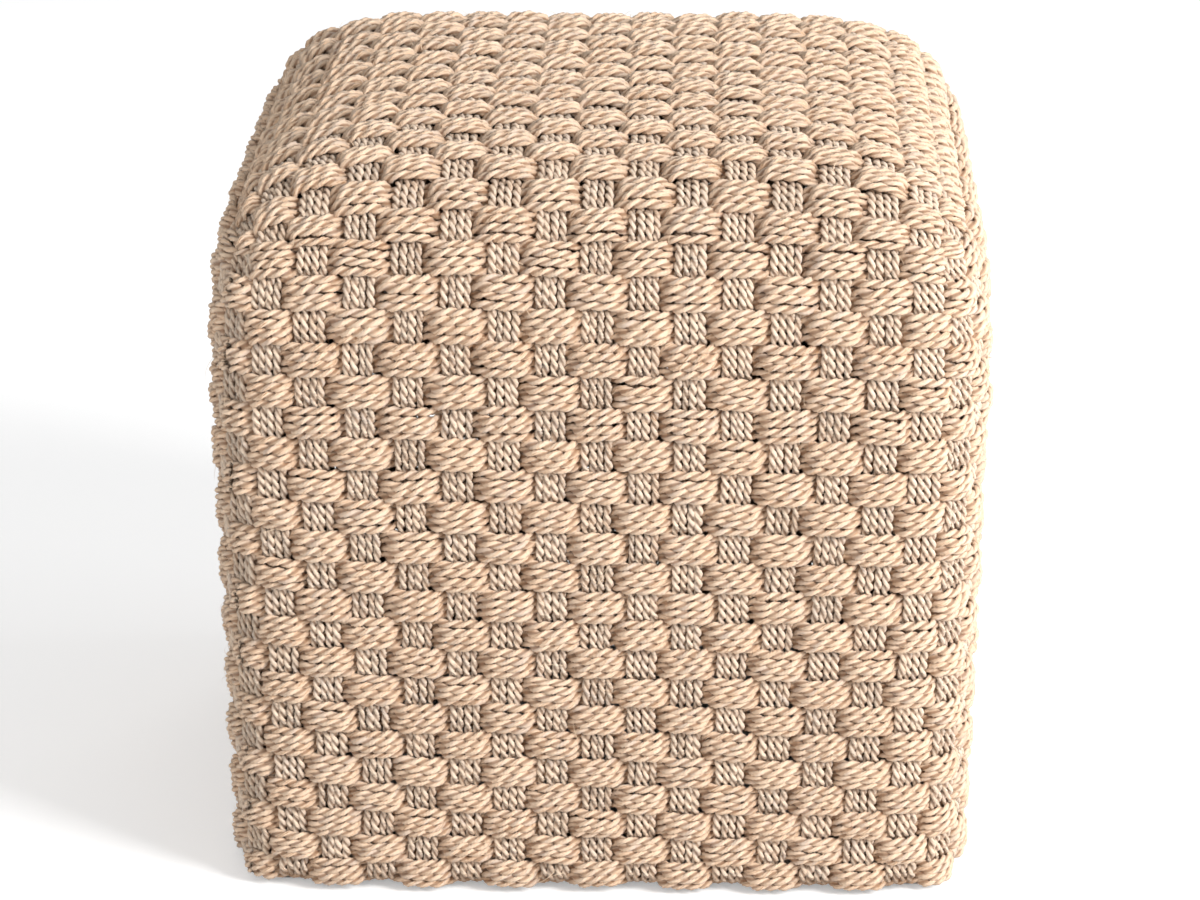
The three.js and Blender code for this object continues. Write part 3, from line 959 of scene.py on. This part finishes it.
# Each band is as wide at a column as its share of the way between its neighbours there.
def band_heights():
    last = CROSSINGS[-1][None]
    lines = np.concatenate([last, TOP_CROSSINGS, last * FRONT_TO_BACK])
    steps = np.linalg.norm(np.diff(lines, axis=0), axis=2)
    return np.maximum((steps[1:] + steps[:-1]) / 2, LEAST_BAND_HEIGHT)


BAND_HEIGHTS = band_heights()


# A column's band goes up the front, over the top and down the back.
def make_warp(column):
    k = column - CORNER_COLUMN
    front = CROSSINGS[:, column]
    controls = np.concatenate([front, TOP_CROSSINGS[:, column], front[::-1] * FRONT_TO_BACK])
    signs = [-column_sign(row + 1, column) for row in range(HOOP_COUNT + CROSS_COUNT)]
    signs += signs[:HOOP_COUNT][::-1]
    cords = weave_band(controls, signs, tucked=(True, True), turn=WRAP_TURNS[abs(k)])
    if abs(k) == CORNER_COLUMN:
        cord_piece("corner_warp_left" if k < 0 else "corner_warp_right", cords, warp_material, [])
    else:
        cord_piece(f"warp_{column:02d}", cords, warp_material, [f"forward_band_{column:02d}"])


# A point of a top band's end on the right or the left side, so far below the highest hoop's edge.
def end_point(band, side, drop):
    half, z = level_at(HOOPS_END - drop)
    y = TOP_CROSSINGS[band, 0, 1] * END_PLACE_SHARE
    x = side * (half ** PLAN_POWER - abs(y) ** PLAN_POWER) ** (1 / PLAN_POWER)
    return x, y, z


def make_top_band(band):
    left, right = [[end_point(band, side, drop) for drop in END_DROPS] for side in (-1, 1)]
    controls = np.array([*left[::-1], *TOP_CROSSINGS[band], *right])
    ends = [END_SWING] * len(END_DROPS)
    signs = [*ends, *(column_sign(HOOP_COUNT + 1 + band, column) for column in range(COLUMN_COUNT)), *ends]
    heights = np.pad(BAND_HEIGHTS[band], len(END_DROPS), mode="edge")
    cords = weave_band(controls, signs, heights, sink=(END_SINK, END_SINK))
    from_edge = min(band, CROSS_COUNT - 1 - band)
    if from_edge < EDGE_COUNT:
        edge = "front" if band == from_edge else "back"
        cord_piece(f"edge_band_{edge}_{from_edge + 1}", cords, weft_material, [f"hoops_{edge}"])
    else:
        number = band + 1 - EDGE_COUNT
        cord_piece(f"top_band_{number:02d}", cords, weft_material, [f"cross_band_{number:02d}"])


# An upright band of the right or the left side ends above, under the ends of the top bands.
def make_side_warp(side, quarter, k):
    column = k + CORNER_COLUMN
    upper_end = column_point(k, HOOPS_END + SIDE_WARP_RISE)
    controls = turned(np.array([*CROSSINGS[:, column], upper_end]), quarter)
    around = quarter * 2 * CORNER_COLUMN + column
    signs = [*(-column_sign(row + 1, around) for row in range(HOOP_COUNT)), SIDE_WARP_SWING]
    turn = WRAP_TURNS[abs(k)]
    cords = weave_band(controls, signs, sink=(0, SIDE_WARP_SINK), tucked=(True, False), turn=turn)
    cord_piece(f"side_warp_{side}_{column:02d}", cords, warp_material, [f"uprights_{side}"])


for column in range(COLUMN_COUNT):
    make_warp(column)
for band in range(CROSS_COUNT):
    make_top_band(band)
for side, quarter in (("right", 1), ("left", 3)):
    for k in COLUMNS[1:-1]:
        make_side_warp(side, quarter, k)


# The frame under the cover

SIDES = ["front", "right", "back", "left"]
CORNERS = ["front_right", "back_right", "back_left", "front_left"]
SHARP_ANGLE = 40
ROUND_SEGMENTS = 48

TUBE_WALL = 1.5
TUBE_EDGE = 0.5

POST_RADIUS = 12.5
WELD_RADIUS = 1.9
WELD_INSET = 1.4
WELD_STEPS = 72
WELD_SECTION_POINTS = 10
WELD_SCALE_COUNT = 18
WELD_SCALE_SHARE = 0.16
WELD_LUMP_COUNT = 5
WELD_LUMP_SHARE = 0.07

SLAT_WIDTH = 36.0
SLAT_THICK = 10.0
SLAT_DEPTH = 12.2
SLAT_EDGE = 2.6
SLAT_EDGE_POINTS = 6
SLAT_POINTS = 90
SLAT_END_GAP = 1.5

# A glide's turned outline: its foot and its rim as points inwards from its side, up from the floor or
# down from its top, and its ribbed stem as points outwards from the stem, up from the glide's top.

GLIDE_HEIGHT = 8.0
GLIDE_TOP_GAP = 0.3
GLIDE_FOOT = [(6.0, 0.8), (5.2, 0.0), (1.8, 0.0), (0.6, 0.5), (0.0, 1.8)]
GLIDE_RIM = [(0.0, 1.4), (0.5, 0.4), (1.6, 0.0)]
STEM_INSET = 4.3
STEM_RIB = [(0.0, 0.0), (0.0, 2.0), (0.6, 4.0), (0.0, 6.0), (0.0, 10.0)]
STEM_TAPER = 1.5


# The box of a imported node, as its low and its high corner.
def box_of(name):
    return [np.array(corner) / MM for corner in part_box(name)]


def plain_piece(name, points, faces, material, replaces=()):
    mesh = bpy.data.meshes.new(name)
    places = [tuple(point) for point in np.asarray(points, float) * MM]
    mesh.from_pydata(places, [], [tuple(int(number) for number in face) for face in faces])
    mesh.validate()
    mesh.polygons.foreach_set("use_smooth", np.ones(len(mesh.polygons), bool))
    mesh.materials.append(material)
    piece = linked(name, mesh)
    edges = piece.modifiers.new("edges", "EDGE_SPLIT")
    edges.split_angle = math.radians(SHARP_ANGLE)
    declare(piece, replaces)


# Closed rings of points joined into a skin. The last ring joins the first, or each end gets a cap.
def skin(rings, loop):
    rings = np.asarray(rings, float)
    n, m = rings.shape[:2]
    faces = []
    for i in range(n if loop else n - 1):
        for j in range(m):
            here, ahead = i * m, (i + 1) % n * m
            beside = (j + 1) % m
            faces.append((here + j, here + beside, ahead + beside, ahead + j))
    if not loop:
        faces.append(tuple(range(m))[::-1])
        faces.append(tuple((n - 1) * m + j for j in range(m)))
    return rings.reshape(-1, 3), faces


# A profile of radii and lengths turned about an axis through the centre.
def lathe(profile, centre, axis, loop=True):
    angle = np.arange(ROUND_SEGMENTS) * 2 * math.pi / ROUND_SEGMENTS
    rings = []
    for radius, along in profile:
        ring = np.stack([radius * np.cos(angle), radius * np.sin(angle), np.full(len(angle), along)], 1)
        rings.append(np.roll(ring, axis + 1, axis=1) + centre)
    return skin(rings, loop)


# A tube with a bore and broken edges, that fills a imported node's box from end to end.
def tube_piece(name, material):
    low, high = box_of(name)
    size = high - low
    axis = int(np.argmax(size))
    radius = max(np.delete(size, axis)) / 2
    half = size[axis] / 2
    low_end = [(radius - TUBE_WALL, -half), (radius - TUBE_EDGE, -half), (radius, -half + TUBE_EDGE)]
    high_end = [(outer, -along) for outer, along in low_end[::-1]]
    points, faces = lathe(low_end + high_end, (low + high) / 2, axis)
    plain_piece(name + "_tube", points, faces, material, [name])


# A rippled weld bead round the top of a post: a ring of small overlapping scales.
def weld_piece(name, post, material):
    low, high = box_of(post)
    centre = np.array([*(low + high)[:2] / 2, high[2]])
    section = np.arange(WELD_SECTION_POINTS) * 2 * math.pi / WELD_SECTION_POINTS
    rings = []
    for turn in np.arange(WELD_STEPS) * 2 * math.pi / WELD_STEPS:
        scales = WELD_SCALE_SHARE * math.cos(WELD_SCALE_COUNT * turn)
        lumps = WELD_LUMP_SHARE * math.sin(WELD_LUMP_COUNT * turn)
        size = WELD_RADIUS * (1 + scales + lumps)
        out = POST_RADIUS - WELD_INSET + size * np.cos(section)
        ring = np.stack([out * math.cos(turn), out * math.sin(turn), size * np.sin(section)], 1)
        rings.append(ring + centre)
    points, faces = skin(rings, True)
    plain_piece(name, points, faces, material)


# The outline of a flat bar with rounded edges, across and up from its middle.
def bar_outline():
    outline = []
    for quarter, (right, up) in enumerate(((1, 1), (-1, 1), (-1, -1), (1, -1))):
        across = right * (SLAT_WIDTH / 2 - SLAT_EDGE)
        above = up * (SLAT_THICK / 2 - SLAT_EDGE)
        for angle in np.linspace(0, math.pi / 2, SLAT_EDGE_POINTS):
            turn = angle + quarter * math.pi / 2
            outline.append((across + SLAT_EDGE * math.cos(turn), above + SLAT_EDGE * math.sin(turn)))
    return np.array(outline)


# A seat slat, which follows the dome of the top at a depth under it.
def slat_piece(name, material):
    low, high = box_of(name)
    y = (low[1] + high[1]) / 2
    reach = (high[0] - low[0]) / 2 - SLAT_END_GAP
    x = np.linspace(-reach, reach, SLAT_POINTS)
    points = np.stack([x, np.full(SLAT_POINTS, y), height_over(x, y)], 1)
    outward = outward_at(points)
    points = points - outward * (SLAT_DEPTH + SLAT_THICK / 2)
    outline = bar_outline()[None]
    forward = np.array([0, 1.0, 0])
    rings = points[:, None] + outline[..., :1] * forward + outline[..., 1:] * outward[:, None]
    verts, faces = skin(rings, False)
    plain_piece(name + "_bar", verts, faces, material, [name])


def glide_piece(name, material):
    low, high = box_of(name)
    centre = np.array([*(low + high)[:2] / 2, 0])
    radius = (high[0] - low[0]) / 2
    top = GLIDE_HEIGHT - GLIDE_TOP_GAP
    stem = radius - STEM_INSET
    profile = [(radius - inward, up) for inward, up in GLIDE_FOOT]
    profile += [(radius - inward, top - down) for inward, down in GLIDE_RIM]
    profile += [(stem + outward, top + up) for outward, up in STEM_RIB]
    profile.append((stem - STEM_TAPER, high[2]))
    points, faces = lathe(profile, centre, 2, loop=False)
    plain_piece(name + "_foot", points, faces, material, [name])


tube_coat = grained_material("powder_coated_tube", (0.27, 0.22, 0.17))
bar_coat = grained_material("powder_coated_bar", (0.25, 0.205, 0.16))
foot_plastic = grained_material("foot_plastic", (0.035, 0.032, 0.03))

for side in SIDES:
    tube_piece("top_rail_" + side, tube_coat)
    tube_piece("base_rail_" + side, tube_coat)
for corner in CORNERS:
    tube_piece("corner_post_" + corner, tube_coat)
    glide_piece("glide_" + corner, foot_plastic)
    weld_piece("weld_top_" + corner, "corner_post_" + corner, tube_coat)
for number in (1, 2):
    slat_piece(f"seat_slat_{number}", bar_coat)


# Loose fibres

FIBRE_COUNT = 420
FIBRE_POINTS = 9
FIBRE_SIDES = 4
FIBRE_RADIUS = 0.17
FIBRE_TAPER_SHARE = 0.75
FIBRE_LENGTHS = (5, 15)
FIBRE_BENDS = (-0.5, 0.5)
FIBRE_LIFTS = (1.4, 3.6)
FIBRE_ROOT_DEPTH = 2.2
FIBRE_ARCH = 4
FIBRE_ARCH_FALL_SHARE = 0.6
ON_TOP_SHARE = 0.3
TOP_REACH_SHARE = 0.8
FIBRE_CLIMBS = (8, PROFILE_ARC[-1] - 4)


# A place on the cover: most lie on the sides, the others on the top.
def fibre_root():
    if rng.random() < ON_TOP_SHARE:
        x, y = rng.uniform(-TOP_REACH_SHARE, TOP_REACH_SHARE, 2) * HALF_WIDTH
        return np.array([x, y, height_over(x, y)])
    half, z = level_at(rng.uniform(*FIBRE_CLIMBS))
    return np.array([*ring_point(half, rng.uniform(0, 2 * math.pi)), z])


# A fine fibre that springs from a cord, bends back to the cover and thins out.
def fibre():
    root = fibre_root()
    outward = outward_at(root[None])[0]
    along = unit(np.cross(rng.normal(0, 1, 3), outward))
    aside = np.cross(along, outward)
    length = rng.uniform(*FIBRE_LENGTHS)
    bend = rng.uniform(*FIBRE_BENDS)
    lift = rng.uniform(*FIBRE_LIFTS)
    t = np.linspace(0, 1, FIBRE_POINTS)[:, None]
    arch = lift * FIBRE_ARCH * t * (1 - FIBRE_ARCH_FALL_SHARE * t)
    line = root + (arch - FIBRE_ROOT_DEPTH) * outward + length * (t * along + bend * t ** 2 * aside)
    radius = FIBRE_RADIUS * (1 - FIBRE_TAPER_SHARE * t)
    angle = np.arange(FIBRE_SIDES)[:, None] * 2 * math.pi / FIBRE_SIDES
    ring = np.cos(angle) * aside + np.sin(angle) * outward
    return line[:, None, :] + radius[:, :, None] * ring


def make_fibres():
    points, faces = [], []
    for _ in range(FIBRE_COUNT):
        own_points, own_faces = skin(fibre(), False)
        faces += [tuple(len(points) + number for number in face) for face in own_faces]
        points += list(own_points)
    material = grained_material("loose_fibre", (0.80, 0.62, 0.44))
    plain_piece("loose_fibres", points, faces, material)


make_fibres()


# Floor, light and camera, in metres

FLOOR_REACH = 6
FLOOR_CORNERS = [(-1, -1), (1, -1), (1, 1), (-1, 1)]
FLOOR_COLOUR = (0.86, 0.86, 0.86, 1)
FLOOR_ROUGHNESS = 0.9
FLOOR_GLOW = 0.35
# The half width of the square under the stool where the floor has no glow, a painted shade.
COVERED_REACH = 0.198
SKY_STRENGTH = 0.38
OPEN_WHITE = (1, 1, 1, 1)
COOL_WHITE = (0.9, 0.95, 1.0)
STOOL_AIM = (0, 0, 0.25)
FRONT_AIM = (0, 0, 0.22)

PHOTO_WIDTH_PIXELS = 1200
FOCAL_LENGTH_PIXELS = 4775
SENSOR_WIDTH = 36
CLIP_END = 50
CAMERA_PLACE = (0.067, -2.832, 1.154)
CAMERA_TILT = math.radians(18.5)
CAMERA_YAW = -0.025


def turn_towards(made, direction):
    made.rotation_mode = "QUATERNION"
    made.rotation_quaternion = direction.to_track_quat("-Z", "Y")


def area_light(name, place, target, size, power, colour=WHITE):
    light = bpy.data.lights.new(name, "AREA")
    light.shape = "RECTANGLE"
    light.size, light.size_y = size
    light.energy = power
    light.color = colour
    lamp = linked(name, light)
    lamp.location = place
    turn_towards(lamp, Vector(target) - Vector(place))


# A value of 1 where the camera sees a thing directly, mirrored or through another, and low elsewhere.
def shown(tree, low):
    rays = node(tree, "LightPath").outputs
    either = arithmetic(tree, "MAXIMUM", rays["Is Camera Ray"], rays["Is Glossy Ray"])
    either = arithmetic(tree, "MAXIMUM", either, rays["Is Transmission Ray"])
    return plus(tree, low, times(tree, either, 1 - low))


def make_sky():
    world = bpy.data.worlds.new("studio")
    bpy.context.scene.world = world
    world.use_nodes = True
    sky = world.node_tree.nodes["Background"]
    set_values(sky, Color=OPEN_WHITE)
    world.node_tree.links.new(shown(world.node_tree, SKY_STRENGTH), sky.inputs["Strength"])


# The floor's colour, with a glow that only the camera sees. There is none under the stool, so the
# floor there is darker: painted shade.
def floor_finish():
    material, tree, shader = nodes_of("pale_floor")
    set_values(shader, Base_Color=FLOOR_COLOUR, Roughness=FLOOR_ROUGHNESS, Emission_Color=OPEN_WHITE)
    axes = node(tree, "SeparateXYZ")
    tree.links.new(node(tree, "TexCoord").outputs["Object"], axes.inputs[0])
    x_reach, y_reach = [arithmetic(tree, "ABSOLUTE", axis) for axis in axes.outputs[:2]]
    reach = arithmetic(tree, "MAXIMUM", x_reach, y_reach)
    # Painted shade: no glow within the square under the stool.
    beside = arithmetic(tree, "GREATER_THAN", reach, COVERED_REACH)
    seen = node(tree, "LightPath").outputs["Is Camera Ray"]
    glow = times(tree, times(tree, seen, FLOOR_GLOW), beside)
    tree.links.new(glow, shader.inputs["Emission Strength"])
    return material


def make_floor():
    mesh = bpy.data.meshes.new("floor")
    mesh.from_pydata([(x * FLOOR_REACH, y * FLOOR_REACH, 0) for x, y in FLOOR_CORNERS], [], [(0, 1, 2, 3)])
    mesh.materials.append(floor_finish())
    return linked("floor", mesh)


def make_camera():
    camera = bpy.data.cameras.new("camera")
    camera.lens = FOCAL_LENGTH_PIXELS / PHOTO_WIDTH_PIXELS * SENSOR_WIDTH
    camera.sensor_width = SENSOR_WIDTH
    camera.clip_end = CLIP_END
    viewer = linked("camera", camera)
    viewer.location = CAMERA_PLACE
    level = math.cos(CAMERA_TILT)
    ahead = (math.sin(CAMERA_YAW) * level, math.cos(CAMERA_YAW) * level, -math.sin(CAMERA_TILT))
    turn_towards(viewer, Vector(ahead))
    bpy.context.scene.camera = viewer


area_light("key", place=(2.3, -1.8, 1.7), target=STOOL_AIM, size=(1.1, 1.1), power=123)
area_light("side", place=(2.4, 0.1, 0.9), target=STOOL_AIM, size=(1.0, 1.2), power=19, colour=COOL_WHITE)
area_light("fill", place=(-1.1, -2.5, 1.3), target=FRONT_AIM, size=(1.8, 1.8), power=25)
area_light("back", place=(0.3, 2.2, 1.9), target=STOOL_AIM, size=(1.6, 1.2), power=12)

make_sky()
floor = make_floor()
make_camera()
bpy.context.scene.view_settings.view_transform = "Standard"
